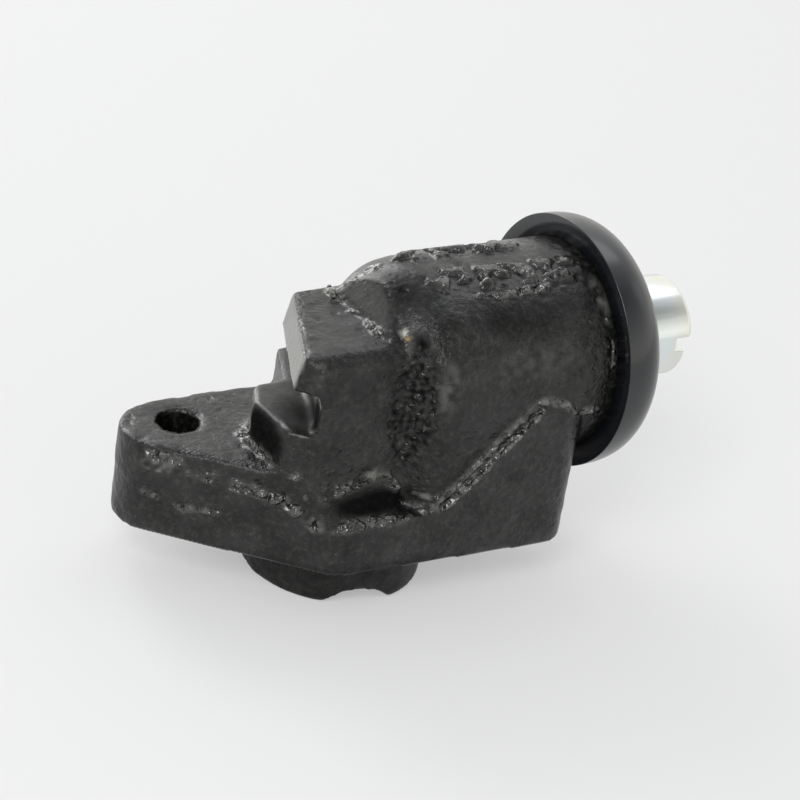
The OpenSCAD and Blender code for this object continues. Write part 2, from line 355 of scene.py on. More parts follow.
    def build(self) -> bpy.types.Material:
        """Makes the material.

        Returns:
            The enamel, which reads the casting's marks.
        """
        material, tree, shader = new_material("black_enamel_on_cast_iron")
        place = add_node(tree, "ShaderNodeTexCoord").outputs["Object"]
        marks = {
            name: add_node(tree, "ShaderNodeAttribute", attribute_name=name).outputs["Fac"]
            for name in SKIN_MARKS
        }
        grain = add_node(
            tree,
            "ShaderNodeTexNoise",
            {"Vector": place, "Scale": per_mm(self.grain), "Detail": 4.0, "Roughness": 0.65},
        ).outputs["Fac"]
        enamel = add_node(tree, "ShaderNodeValToRGB", {"Fac": grain})
        set_stops(enamel.color_ramp, self.stops)
        colour = enamel.outputs["Color"]
        # painted shade and painted highlights are mixed into the colour here, with the rust
        for mark, code in (("shade_and_matt", self.shade_and_matt), ("painted_highlight", self.painted_highlight), ("rust", self.rust)):
            colour = add_node(
                tree,
                "ShaderNodeMix",
                {"Factor": marks[mark], "A": colour, "B": srgb(code)},
                data_type="RGBA",
            ).outputs["Result"]
        relief = self.heights(tree, grain, marks)
        bump = add_node(tree, "ShaderNodeBump", {"Height": relief, "Strength": 1.0, "Distance": MM})
        roughness, shine = self.gloss(tree, marks)
        tree.links.new(colour, shader.inputs["Base Color"])
        tree.links.new(roughness, shader.inputs["Roughness"])
        tree.links.new(shine, shader.inputs["Specular IOR Level"])
        tree.links.new(bump.outputs["Normal"], shader.inputs["Normal"])
        shader.inputs["IOR"].default_value = self.ior
        return material


@dataclass(frozen=True)
class BoredIron:
    """Grey cast iron, bored and drilled: mottled by the tool's marks, dark with oil.

    Sizes and depths are in millimetres. The marks are coarser than a tool's, so that they show.
    """

    dark: str = "4a4a4c"
    pale: str = "6b6b6d"
    roughness: float = 0.42
    mark: float = 0.4
    mark_depth: float = 0.05
    strength: float = 0.2

    def build(self) -> bpy.types.Material:
        """Makes the material.

        Returns:
            The bare iron.
        """
        material, tree, shader = new_material("bored_grey_iron")
        place = add_node(tree, "ShaderNodeTexCoord").outputs["Object"]
        marks = add_node(
            tree,
            "ShaderNodeTexNoise",
            {"Vector": place, "Scale": per_mm(self.mark), "Detail": 2.0},
        ).outputs["Fac"]
        colour = add_node(tree, "ShaderNodeValToRGB", {"Fac": marks})
        set_stops(colour.color_ramp, [(0.3, self.dark), (0.7, self.pale)])
        bump = add_node(
            tree,
            "ShaderNodeBump",
            {"Height": marks, "Strength": self.strength, "Distance": self.mark_depth * MM},
        )
        tree.links.new(colour.outputs["Color"], shader.inputs["Base Color"])
        tree.links.new(bump.outputs["Normal"], shader.inputs["Normal"])
        shader.inputs["Metallic"].default_value = 1.0
        shader.inputs["Roughness"].default_value = self.roughness
        return material


@dataclass(frozen=True)
class MouldedRubber:
    """Black moulded rubber: satin skin with a faint bloom and the mould's fine grain.

    Sizes and depths are in millimetres. The grain is coarser than a mould's, so that it shows.
    """

    name: str = "moulded_black_rubber"
    dark: str = "0d0f12"
    pale: str = "181b20"
    roughness: float = 0.2
    wiped: float = 0.05
    bloomed: float = 0.07
    ior: float = 1.6
    bloom: float = 9.0
    grain: float = 0.5
    grain_depth: float = 0.03
    strength: float = 0.15

    def build(self) -> bpy.types.Material:
        """Makes the material.

        Returns:
            The rubber.
        """
        material, tree, shader = new_material(self.name)
        place = add_node(tree, "ShaderNodeTexCoord").outputs["Object"]
        bloom = add_node(
            tree,
            "ShaderNodeTexNoise",
            {"Vector": place, "Scale": per_mm(self.bloom), "Detail": 4.0, "Roughness": 0.55},
        ).outputs["Fac"]
        grain = add_node(
            tree,
            "ShaderNodeTexNoise",
            {"Vector": place, "Scale": per_mm(self.grain), "Detail": 2.0},
        ).outputs["Fac"]
        colour = add_node(tree, "ShaderNodeValToRGB", {"Fac": bloom})
        set_stops(colour.color_ramp, [(0.35, self.dark), (0.7, self.pale)])
        gloss = add_node(
            tree,
            "ShaderNodeMapRange",
            {
                "Value": bloom,
                "To Min": self.roughness - self.wiped,
                "To Max": self.roughness + self.bloomed,
            },
        )
        bump = add_node(
            tree,
            "ShaderNodeBump",
            {"Height": grain, "Strength": self.strength, "Distance": self.grain_depth * MM},
        )
        tree.links.new(colour.outputs["Color"], shader.inputs["Base Color"])
        tree.links.new(gloss.outputs["Result"], shader.inputs["Roughness"])
        tree.links.new(bump.outputs["Normal"], shader.inputs["Normal"])
        shader.inputs["IOR"].default_value = self.ior
        return material


@dataclass(frozen=True)
class ZincPlate:
    """Bright zinc over turned steel: silvery, with fine turning rings and a faint warm passivation.

    Sizes and depths are in millimetres. The rings are coarser than a lathe's, so that they show.
    """

    name: str = "bright_zinc_on_turned_steel"
    cool: str = "dfe5e6"
    warm: str = "e0e1d9"
    roughness: float = 0.27
    stain: float = 7.0
    ring: float = 0.25
    ring_depth: float = 0.02
    ring_stretch: float = 0.04
    strength: float = 0.12

    def build(self) -> bpy.types.Material:
        """Makes the material.

        Returns:
            The plated steel.
        """
        material, tree, shader = new_material(self.name)
        place = add_node(tree, "ShaderNodeTexCoord").outputs["Object"]
        stain = add_node(
            tree,
            "ShaderNodeTexNoise",
            {"Vector": place, "Scale": per_mm(self.stain), "Detail": 3.0},
        )
        colour = add_node(tree, "ShaderNodeValToRGB", {"Fac": stain.outputs["Fac"]})
        set_stops(colour.color_ramp, [(0.38, self.cool), (0.62, self.warm)])
        stretch = add_node(
            tree,
            "ShaderNodeMapping",
            {"Vector": place, "Scale": (1.0, self.ring_stretch, self.ring_stretch)},
        )
        rings = add_node(
            tree,
            "ShaderNodeTexNoise",
            {"Vector": stretch.outputs["Vector"], "Scale": per_mm(self.ring), "Detail": 2.0},
        )
        bump = add_node(
            tree,
            "ShaderNodeBump",
            {
                "Height": rings.outputs["Fac"],
                "Strength": self.strength,
                "Distance": self.ring_depth * MM,
            },
        )
        tree.links.new(colour.outputs["Color"], shader.inputs["Base Color"])
        tree.links.new(bump.outputs["Normal"], shader.inputs["Normal"])
        shader.inputs["Metallic"].default_value = 1.0
        shader.inputs["Roughness"].default_value = self.roughness
        return material


def copy_of_node(name: str) -> bmesh.types.BMesh:
    """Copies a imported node's mesh and merges its loose triangles.

    Args:
        name: the node.
    Returns:
        A closed bmesh in the frame.
    """
    bm = bmesh.new()
    bm.from_mesh(frame["nodes"][name].data)
    bmesh.ops.remove_doubles(bm, verts=bm.verts, dist=MERGE)
    return bm


def new_piece(name: str, bm: bmesh.types.BMesh, smooth: bool = True) -> bpy.types.Object:
    """Makes an object at the origin from a bmesh, and frees the bmesh.

    Args:
        name: the piece's name.
        bm: its finished mesh.
        smooth: whether its faces are shaded smooth.
    Returns:
        The linked object.
    """
    mesh = bpy.data.meshes.new(name)
    bm.to_mesh(mesh)
    bm.free()
    for polygon in mesh.polygons:
        polygon.use_smooth = smooth
    piece = bpy.data.objects.new(name, mesh)
    bpy.context.scene.collection.objects.link(piece)
    return piece


def apply_modifiers(piece: bpy.types.Object) -> None:
    """Replaces a piece's mesh by what its modifiers make of it.

    Args:
        piece: the object whose modifiers are applied.
    """
    graph = bpy.context.evaluated_depsgraph_get()
    mesh = bpy.data.meshes.new_from_object(piece.evaluated_get(graph), depsgraph=graph)
    old = piece.data
    piece.modifiers.clear()
    piece.data = mesh
    bpy.data.meshes.remove(old)


def even_out(
    bm: bmesh.types.BMesh,
    points: list[bmesh.types.BMVert],
    passes: int,
    level: bool = False,
) -> None:
    """Smooths some of a mesh's points.

    Args:
        bm: the mesh.
        points: the points that may move.
        passes: how often each moves half way to its neighbours.
        level: whether each keeps its height.
    """
    for _ in range(passes):
        bmesh.ops.smooth_vert(
            bm, verts=points, factor=0.5, use_axis_x=True, use_axis_y=True, use_axis_z=not level
        )


@dataclass(frozen=True)
class Patch:
    """A place on the casting, in millimetres: an ellipsoid that fades out at its edge."""

    centre: tuple[float, float, float]
    half: tuple[float, float, float]
    fade: float = 0.5
    amount: float = 1.0

    def weight(self, point: Vector) -> float:
        """How much of the patch is felt at a point.

        Args:
            point: a place in millimetres.
        Returns:
            The patch's amount well inside, 0 outside.
        """
        offset = [(point[i] - self.centre[i]) / self.half[i] for i in range(3)]
        far = math.sqrt(sum(c * c for c in offset))
        return self.amount * smooth_step((1 - far) / self.fade)


@dataclass(frozen=True)
class Run:
    """Lumps, beads of paint or a groove along a line on the casting's skin.

    Points, half width, height and lump size are in millimetres. A higher level leaves fewer gaps between
    lumps, less grit runs drops together, gloss says how much shine the lumps get, and painted_highlight how
    much painted highlight lightens their tops.
    """

    points: tuple[tuple[float, float, float], ...]
    half: float = 0.9
    height: float = 0.8
    size: float = 1.6
    level: float = 0.15
    grit: float = 1.0
    gloss: float = 1.0
    # painted highlight on the lumps' tops
    painted_highlight: float = 0.35
    kind: Lump = Lump.DROP
    steepness: float = 1.6
    drop_fade: float = 0.3
    island_fade: float = 0.25

    @cached_property
    def legs(self) -> list[tuple[Vector, Vector, float]]:
        """Start, run and squared length of each straight leg."""
        pairs = [(Vector(a), Vector(b) - Vector(a)) for a, b in zip(self.points, self.points[1:])]
        return [(start, leg, leg.length_squared) for start, leg in pairs]

    @cached_property
    def box(self) -> list[tuple[float, float]]:
        """Lowest and highest place on each axis that the line reaches."""
        return [
            (min(p[i] for p in self.points) - self.half, max(p[i] for p in self.points) + self.half)
            for i in range(3)
        ]

    def weight(self, point: Vector) -> float:
        """How much of the line is felt at a point.

        Args:
            point: a place in millimetres.
        Returns:
            1 on the line, 0 beyond its half width.
        """
        if any(not low < c < high for c, (low, high) in zip(point, self.box)):
            return 0.0
        near = min(
            (point - start - leg * min(1.0, max(0.0, (point - start).dot(leg) / square))).length
            for start, leg, square in self.legs
        )
        return smooth_step(self.steepness * (1 - near / self.half))

    def lump(self, point: Vector) -> tuple[float, float]:
        """Works out the lumps at a point.

        Args:
            point: a place in millimetres.
        Returns:
            How much of a lump stands there, and how much paint there is to make one, each from 0 to 1.
        """
        swell = noise.noise(point / (2 * self.size)) + self.level
        if self.kind is Lump.ISLAND:
            rise = noise.noise(point / self.size) + 0.5 * swell + self.level
            island = smooth_step(rise / self.island_fade)
            return island, island
        near = noise.voronoi(point / self.size)[0][0]
        drop = math.sqrt(max(0.0, 1 - (near / DROP_REACH) ** 2))
        paint = smooth_step(swell / self.drop_fade)
        return paint * (1 - self.grit * (1 - drop)), paint


@dataclass
class Skin:
    """What one point of the cast skin is like: its lift in millimetres, and marks from 0 to 1."""

    lift: float = 0.0
    pool: float = 0.0
    drops: float = 0.0
    # painted highlight, lightening the colour
    painted_highlight: float = 0.0
    # painted shade, which also makes the paint matt
    shade_and_matt: float = 0.0
    sand: float = 1.0
    rust: float = 0.0


@dataclass
class Casting:
    """The painted iron body: cast edges rounded, skin roughened, paint pooled in its creases.

    Sizes, depths and reaches are in millimetres.
    """

    voxel: float = 0.54
    round_passes: int = 4
    crease_passes: int = 14
    face_passes: int = 12
    # what is machined: the bore from its blind end on, faces and holes within a reach of where they are cut
    bore_start: float = 4.0
    bore_reach: float = 0.3
    bore_play: float = 0.06
    machined_reach: float = 0.14
    drill_reach: float = 0.25
    port_reach: float = 0.2
    port_top: float = 6.0
    # waves of the cast skin, and paint in its creases
    skin_size: float = 2.4
    skin_depth: float = 0.08
    skin_falloff: float = 0.8
    skin_ratio: float = 2.1
    skin_octaves: int = 3
    crease_depth: float = 0.28
    bead_size: float = 1.0
    bead_depth: float = 0.15
    bead_contrast: float = 1.6
    bead_floor: float = 0.3
    # rough patches, and the matt blotches of painted shade in them
    rough_size: float = 0.7
    rough_depth: float = 0.14
    rough_contrast: float = 3.0
    rough_floor: float = 0.8
    rough_shade_and_matt: float = 0.85
    blotch_size: float = 0.8
    # painted highlights, rust, and the abutment's glossy front, lightened with a painted reflection
    highlight_size: float = 1.3
    highlight_contrast: float = 1.3
    highlight_share: float = 0.55
    rust_size: float = 0.4
    rust_contrast: float = 3.0
    shiny_front_facing: float = 0.8
    shiny_front_fade: float = 0.15
    shiny_front_gloss: float = 0.6
    # painted reflection: how much the pale colour lightens the abutment's front
    shiny_front_highlight: float = 0.8
    # pits on level tops, which hold less sand than the walls
    pit_size: float = 3.2
    pit_depth: float = 0.35
    pit_reach: float = 0.22
    pit_fade: float = 0.16
    pit_facing: float = 0.9
    pit_most_drops: float = 0.2
    sand_loss: float = 0.6

    def __post_init__(self) -> None:
        """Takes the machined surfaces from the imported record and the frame, and lists the marked places."""
        low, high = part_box("dust_boot")
        bore_low, bore_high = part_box("piston")
        self.axis_z = (low.z + high.z) / 2 / MM
        self.bore_r = (bore_high.z - bore_low.z) / 2 / MM
        self.foot_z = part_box("body")[0].z / MM
        self.holes: list[Hole] = []
        for mount in frame["record"]["mounts"]:
            if mount["kind"] == "threaded_hole":
                x, y, z = (c / MM for c in mount["pos_m"])
                self.holes.append(Hole(x, y, z + mount["dims"]["length_mm"], mount["dims"]["r_mm"]))
        # the abutment's front, glossy and lightened with a painted reflection where the skin faces this way
        self.shiny_front = Patch((-12.0, -2.0, 37.0), (40.0, 40.0, 9.2), 0.12)
        self.shiny_front_way = Vector((-0.89, 0.41, 0.2)).normalized()
        # end of the hollow under the abutment, softer than the rest
        self.soft_end = Patch((5.0, -15.2, 11.6), (4.0, 3.0, 2.6))
        self.rust_spot = Patch((1.9, -9.8, 37.4), (0.8, 0.8, 0.8), 0.6)
        self.rough_patches = self.list_rough()
        self.calm_patches = self.list_calm()
        self.shade_and_matt_patches = self.list_shade_and_matt()
        self.highlight_patches = self.list_highlights()
        self.runs = [*self.list_flange_runs(), *self.list_barrel_runs()]

    def list_rough(self) -> list[Patch]:
        """Lists the places where the sand left the skin rough."""
        return [
            Patch((2.6, -12.8, 27.0), (5.2, 4.2, 13.4), 0.4),  # crease between abutment and barrel
            Patch((3.0, -2.0, 42.2), (2.4, 4.0, 2.4), 0.6),  # top of the dome
            Patch((35.3, -7.0, 42.0), (2.6, 6.0, 4.0), 0.5, 0.5),  # beside the boot
        ]

    def list_calm(self) -> list[Patch]:
        """Lists the places where the skin is smooth."""
        return [
            Patch((-13.0, -2.0, 23.0), (6.0, 14.0, 3.5), 0.4),  # slot's floor
            Patch((0.4, 0.0, 39.4), (4.0, 10.0, 4.0), 0.4, 0.6),  # facet of the dome
            Patch((38.4, 0.0, self.axis_z), (3.2, 30.0, 30.0), 0.5, 0.6),  # barrel's mouth
            Patch((-12.8, -9.2, 26.0), (2.2, 3.0, 3.6), 0.4),  # slot's end wall
        ]

    def list_shade_and_matt(self) -> list[Patch]:
        """Lists the places where the paint is matt and darkened with painted shade."""
        return [
            Patch((-2.6, -14.6, 11.7), (12.5, 3.0, 2.8), 0.6, 0.88),  # hollow under the abutment
            Patch((-17.4, -2.0, 20.0), (1.2, 8.0, 4.5), 0.5, 0.85),  # nose
            Patch((3.8, -2.6, 42.4), (6.5, 8.5, 4.5), 1.0, 0.75),  # top of the dome
            Patch((3.2, -11.4, 37.2), (2.2, 2.8, 3.4), 1.0, 0.9),  # corner beside the dome
            Patch((21.0, -11.5, 39.5), (15.0, 4.0, 3.4), 1.0, 0.5),  # shoulder of the barrel
            Patch((-12.8, -9.2, 26.0), (2.0, 2.6, 3.4), 0.4, 0.9),  # slot's end wall
            Patch((-11.0, -5.0, 23.6), (6.0, 8.0, 2.4), 0.8, 0.75),  # slot's floor
            Patch((0.0, 0.0, self.foot_z / 2), (30.0, 30.0, -self.foot_z), 0.2, 0.4),  # spigot
        ]

    def list_highlights(self) -> list[Patch]:
        """Lists the places where painted highlights lighten the paint."""
        return [
            Patch((6.7, -15.4, 31.0), (2.4, 3.0, 7.0), 1.0, 0.4),  # beside the rough crease
            Patch((-31.4, 5.0, 12.5), (3.0, 3.0, 1.6), 0.6, 0.7),  # ear's edge
            Patch((1.4, -8.6, 38.2), (1.2, 1.2, 1.2), 0.6, 0.9),  # near end of the top crease
            Patch((0.2, 7.2, 39.4), (3.0, 1.8, 3.4), 0.6, 0.9),  # far end of the top crease
            Patch((-14.4, -11.0, 34.6), (1.3, 1.5, 3.0), 0.8, 0.5),  # near edge of the abutment's front
            Patch((-2.6, -12.3, 15.4), (2.6, 1.5, 1.6), 0.8, 0.7),  # above the hollow
            Patch((36.8, -10.5, 40.4), (1.8, 6.0, 4.0), 0.8, 0.5),  # beside the boot
            Patch((23.0, -15.4, 33.4), (15.0, 4.0, 4.4), 1.0, 0.16),  # barrel's side
        ]

    def list_flange_runs(self) -> list[Run]:
        """Lists the beads, lumps and grooves on the flange.

        Returns:
            The runs, from the ear to the ramp.
        """
        return [
            # parting line round the ear, down to the flange's near edge
            Run(
                (
                    (-32.3, 5.7, 14.6),
                    (-29.3, 2.9, 13.5),
                    (-25.7, -0.5, 12.7),
                    (-20.6, -5.3, 11.9),
                    (-16.6, -9.1, 11.6),
                    (-15.0, -10.6, 10.2),
                    (-12.4, -13.1, 8.2),
                    (-10.0, -15.3, 8.8),
                    (-5.7, -16.3, 9.3),
                    (0.5, -16.6, 9.1),
                    (7.5, -16.9, 9.6),
                ),
                half=1.5,
                level=0.28,
            ),
            # runs of paint under it, on the ear
            Run(
                ((-33.2, 6.8, 12.7), (-31.3, 4.9, 12.4), (-29.6, 3.2, 12.3)),
                half=1.4,
                height=0.5,
                level=2.0,
                grit=0.1,
                painted_highlight=0.0,
            ),
            Run(
                (
                    (-32.4, 6.0, 7.4),
                    (-30.0, 3.7, 6.9),
                    (-28.5, 2.3, 5.2),
                    (-26.0, 0.0, 6.6),
                    (-24.0, -2.0, 6.8),
                ),
            ),
            # foot of the nose
            Run(
                (
                    (-17.5, 4.5, 16.3),
                    (-17.4, 0.1, 16.8),
                    (-17.2, -6.4, 16.6),
                    (-16.5, -8.7, 16.4),
                    (-15.4, -10.1, 16.2),
                ),
                half=1.0,
            ),
            # foot of the abutment, above the hollow, and the ridge at the hollow's end
            Run(
                (
                    (-13.6, -11.8, 13.0),
                    (-11.8, -12.6, 13.8),
                    (-8.5, -12.6, 13.8),
                    (-4.7, -12.3, 14.8),
                    (-2.2, -12.3, 15.6),
                    (-0.3, -12.5, 14.9),
                    (1.3, -13.2, 13.2),
                ),
                half=1.2,
                size=1.2,
            ),
            Run(
                ((4.4, -14.4, 12.2), (7.2, -16.4, 11.8)),
                half=0.7,
                height=0.3,
                level=2.0,
                grit=0.0,
                painted_highlight=0.6,
            ),
            # ridges on both sides of the ramp, and the groove between
            Run(
                (
                    (7.6, -16.5, 11.6),
                    (11.0, -16.5, 13.4),
                    (16.3, -16.5, 19.0),
                    (19.1, -16.8, 22.5),
                    (22.0, -17.4, 26.2),
                    (24.5, -17.4, 27.2),
                    (27.6, -17.4, 26.3),
                    (30.5, -17.3, 24.6),
                ),
                half=1.1,
                level=0.8,
                grit=0.7,
                painted_highlight=0.6,
            ),
            Run(
                ((9.3, -17.3, 10.4), (14.5, -17.7, 15.6), (20.6, -18.0, 21.9), (23.9, -18.2, 25.4)),
                level=0.5,
                painted_highlight=0.5,
            ),
            Run(
                ((8.5, -17.2, 10.4), (24.0, -17.6, 26.0)),
                height=-0.8,
                level=2.0,
                grit=0.3,
                gloss=0.0,
                painted_highlight=0.0,
            ),
        ]

    def list_barrel_runs(self) -> list[Run]:
        """Lists the beads and lumps on the abutment's top and the barrel.

        Returns:
            The runs, from the abutment to the barrel's mouth.
        """
        return [
            # crease behind the abutment's top, the ridge up from its far end, and a smear at its near end
            Run(
                (
                    (-1.5, 9.3, 37.1),
                    (-1.8, 4.0, 37.1),
                    (-1.8, -2.0, 37.1),
                    (-1.5, -5.0, 37.1),
                    (-1.4, -8.6, 37.3),
                ),
                painted_highlight=0.7,
            ),
            Run(
                (
                    (-1.4, 7.7, 37.2),
                    (-0.3, 7.2, 38.8),
                    (1.2, 6.6, 40.4),
                    (3.0, 6.2, 41.6),
                    (4.2, 5.6, 42.2),
                ),
                half=1.4,
                height=0.5,
                level=0.8,
                grit=0.5,
                painted_highlight=1.0,
            ),
            Run(((0.8, -8.4, 37.6), (1.6, -8.7, 38.4)), height=0.3, level=2.0, grit=0.1, painted_highlight=0.0),
            # top edge of the abutment's front
            Run(
                ((-11.0, 3.3, 36.8), (-13.0, -1.7, 36.9), (-15.9, -8.7, 36.9)),
                half=0.8,
                height=0.4,
                size=1.2,
            ),
            # two rows of rough lumps on the barrel's top, and beads under them
            *(
                Run(
                    ends,
                    half=half,
                    height=0.85,
                    size=2.2,
                    level=0.1,
                    gloss=0.6,
                    painted_highlight=0.2,
                    kind=Lump.ISLAND,
                )
                for ends, half in (
                    (((10.5, -4.3, 43.9), (33.0, -5.3, 43.6)), 3.5),
                    (((9.0, 4.2, 43.9), (27.0, 3.2, 44.2)), 3.0),
                )
            ),
            Run(((14.4, -8.0, 42.5), (18.7, -8.8, 42.0), (22.8, -8.2, 42.3), (33.2, -8.4, 42.3))),
            # ring beside the boot, and the ramp's end that runs into it
            Run(
                (
                    (35.9, -4.5, 43.8),
                    (36.4, -8.3, 42.3),
                    (37.0, -12.6, 39.0),
                    (37.1, -15.8, 34.3),
                    (37.2, -17.3, 29.0),
                    (37.2, -17.3, 25.0),
                    (37.2, -16.2, 20.7),
                ),
                height=0.4,
                level=0.0,
            ),
            Run(((31.0, -17.3, 24.2), (34.2, -17.2, 24.0), (36.1, -17.3, 24.4), (37.0, -17.3, 25.8))),
        ]

    def in_bore(self, point: Vector) -> bool:
        """Whether a place in millimetres lies on the bore's wall or blind end."""
        off = math.hypot(point.y, point.z - self.axis_z)
        return point.x > self.bore_start and off < self.bore_r + self.bore_reach

    def is_faced(self, point: Vector) -> bool:
        """Whether a place in millimetres lies on the mounting face or the spigot's end."""
        return point.z < self.foot_z + self.machined_reach or abs(point.z) < self.machined_reach

    def is_cast(self, point: Vector) -> bool:
        """Tells cast skin from what a drill, borer or lathe has cut.

        Args:
            point: a place on the body in millimetres.
        Returns:
            Whether the skin is as cast there.
        """
        drilled = any(
            point.z < hole.top
            and math.hypot(point.x - hole.x, point.y - hole.y) < hole.r + self.machined_reach
            for hole in self.holes
        )
        return not (drilled or self.in_bore(point) or self.is_faced(point))

    def cast_points(self, bm: bmesh.types.BMesh) -> list[bmesh.types.BMVert]:
        """Lists the points of the cast skin.

        Args:
            bm: the body; its points get their numbers.
        Returns:
            The points that no tool has cut.
        """
        bm.verts.index_update()
        bm.verts.ensure_lookup_table()
        return [v for v in bm.verts if self.is_cast(v.co / MM)]

    def true_up(self, bm: bmesh.types.BMesh) -> None:
        """Evens the outlines of the faced ends, and brings bore and drilled holes back to their radius.

        Args:
            bm: the rounded body.
        """
        faced = [v for v in bm.verts if self.is_faced(v.co / MM)]
        even_out(bm, faced, self.face_passes, level=True)
        bore_r = self.bore_r + self.bore_play
        for v in bm.verts:
            p = v.co / MM
            for hole in self.holes:
                off = Vector((p.x - hole.x, p.y - hole.y))
                if p.z < hole.top and abs(off.length - hole.r) < self.drill_reach:
                    v.co.xy = (Vector((hole.x, hole.y)) + off.normalized() * hole.r) * MM
            off = Vector((p.y, p.z - self.axis_z))
            if self.in_bore(p) and abs(off.length - bore_r) < self.drill_reach:
                v.co.yz = (Vector((0.0, self.axis_z)) + off.normalized() * bore_r) * MM

    def build(self) -> bpy.types.Object:
        """Models the body.

        Returns:
            The finished piece.
        """
        piece = new_piece("painted_casting", copy_of_node("body"))
        remesh = piece.modifiers.new("even_skin", "REMESH")
        remesh.mode = "VOXEL"
        remesh.voxel_size = self.voxel * MM
        apply_modifiers(piece)
        bm = bmesh.new()
        bm.from_mesh(piece.data)
        for layer in ("crease", *SKIN_MARKS):
            bm.verts.layers.float.new(layer)
        cast = self.cast_points(bm)
        even_out(bm, cast, self.round_passes)
        even_out(bm, [v for v in cast if self.soft_end.weight(v.co / MM) > 0], self.crease_passes)
        self.true_up(bm)
        bm.normal_update()
        self.mark_creases(bm, cast)
        self.refine(bm)
        bm.normal_update()
        crease = bm.verts.layers.float["crease"]
        layers = {name: bm.verts.layers.float[name] for name in SKIN_MARKS}
        skins = [(v, self.skin_at(v, v[crease])) for v in self.cast_points(bm)]
        for v, skin in skins:
            v.co += v.normal * skin.lift * MM
            for name, layer in layers.items():
                v[layer] = getattr(skin, name)
        bm.verts.layers.float.remove(crease)
        bm.to_mesh(piece.data)
        bm.free()
        for polygon in piece.data.polygons:
            polygon.use_smooth = True
        return piece

    def mark_creases(self, bm: bmesh.types.BMesh, cast: list[bmesh.types.BMVert]) -> None:
        """Marks how hollow the skin is at each cast point.

        Args:
            bm: the rounded body; the mark is how far smoothing would raise a point, in millimetres.
            cast: its cast points.
        """
        flat = bm.copy()
        flat.verts.ensure_lookup_table()
        same = [flat.verts[v.index] for v in cast]
        even_out(flat, same, self.crease_passes)
        layer = bm.verts.layers.float["crease"]
        for v, f in zip(cast, same):
            v[layer] = (f.co - v.co).dot(v.normal) / MM
        flat.free()

    def refine(self, bm: bmesh.types.BMesh) -> None:
        """Splits the skin more finely where beads and lumps stand.

        Args:
            bm: the rounded body.
        """
        places = [*self.runs, *self.rough_patches]
        busy = {v for v in bm.verts if any(place.weight(v.co / MM) > 0 for place in places)}
        edges = [e for e in bm.edges if e.verts[0] in busy and e.verts[1] in busy]
        bmesh.ops.subdivide_edges(bm, edges=edges, cuts=1, use_grid_fill=True)

    def skin_at(self, v: bmesh.types.BMVert, hollow: float) -> Skin:
        """Works out the skin at one cast point: sand grain, rough patches, pits and beads of paint.

        Args:
            v: the point.
            hollow: how far smoothing would raise it, in millimetres.
        Returns:
            Its lift and marks.
        """
        p = v.co / MM
        facing = (v.normal.dot(self.shiny_front_way) - self.shiny_front_facing) / self.shiny_front_fade
        shiny = self.shiny_front.weight(p) * smooth_step(facing)
        calm = 1 - max(shiny, *(q.weight(p) for q in self.calm_patches))
        crease = calm * smooth_step(hollow / self.crease_depth)
        bead = noise.noise(p / self.bead_size) * 0.5 + 0.5
        pooled = smooth_step(bead * self.bead_contrast - self.bead_floor)
        # painted highlights come and go in blotches
        highlit = smooth_step(self.highlight_share + self.highlight_contrast * noise.noise(p / self.highlight_size))
        rusty = smooth_step(noise.noise(p / self.rust_size) * self.rust_contrast)
        wave = noise.fractal(p / self.skin_size, self.skin_falloff, self.skin_ratio, self.skin_octaves)
        skin = Skin(
            lift=self.skin_depth * calm * wave + self.bead_depth * crease * bead,
            pool=max(crease * pooled, self.shiny_front_gloss * shiny),
            painted_highlight=max(highlit * max(q.weight(p) for q in self.highlight_patches), self.shiny_front_highlight * shiny),
            # painted shade, darkening and dulling these places
            shade_and_matt=max(q.weight(p) for q in self.shade_and_matt_patches),
            rust=self.rust_spot.weight(p) * rusty,
        )
        self.roughen(skin, p)
        for run in self.runs:
            weight = run.weight(p)
            if weight > 0:
                lump, paint = run.lump(p)
                skin.lift += run.height * weight * lump
                skin.pool = max(skin.pool, run.gloss * weight * paint)
                skin.drops = max(skin.drops, run.grit * run.gloss * weight * paint)
                skin.painted_highlight = max(skin.painted_highlight, run.painted_highlight * weight * lump * highlit)
        skin.pool = max(skin.pool, skin.drops)
        skin.shade_and_matt *= 1 - skin.pool
        skin.sand = (1 - self.sand_loss * smooth_step(2 * v.normal.z - 1)) * (1 - skin.pool) * calm
        if v.normal.z > self.pit_facing and skin.drops < self.pit_most_drops:
            cell = noise.voronoi(p / self.pit_size)[0][0]
            skin.lift -= self.pit_depth * calm * smooth_step((self.pit_reach - cell) / self.pit_fade)
        return skin

    def roughen(self, skin: Skin, point: Vector) -> None:
        """Adds the rough patches' ridges, drops, and matt blotches of painted shade.

        Args:
            skin: what the point is like so far.
            point: its place in millimetres.
        """
        rough = max(q.weight(point) for q in self.rough_patches)
        if rough > 0:
            ridge = noise.noise(point / self.rough_size + ROUGH_SHIFT)
            blotch = smooth_step(0.5 + noise.noise(point / self.blotch_size))
            skin.lift += self.rough_depth * rough * ridge
            skin.drops = rough * smooth_step(ridge * self.rough_contrast - self.rough_floor)
            # painted shade in blotches over the rough patches
            skin.shade_and_matt = max(skin.shade_and_matt, self.rough_shade_and_matt * rough * blotch)

    def dress(self, piece: bpy.types.Object) -> None:
        """Gives the body its paint, and its bores their bare iron.

        Args:
            piece: the body.
        """
        piece.data.materials.append(CastPaint().build())
        piece.data.materials.append(BoredIron().build())
        for polygon in piece.data.polygons:
            centre = polygon.center / MM
            port = any(
                centre.z < self.port_top
                and math.hypot(centre.x - hole.x, centre.y - hole.y) < hole.r + self.port_reach
                for hole in self.holes
            )
            polygon.material_index = 1 if port or self.in_bore(centre) else 0
        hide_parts("body")
        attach(piece, Body.CASTING.value)


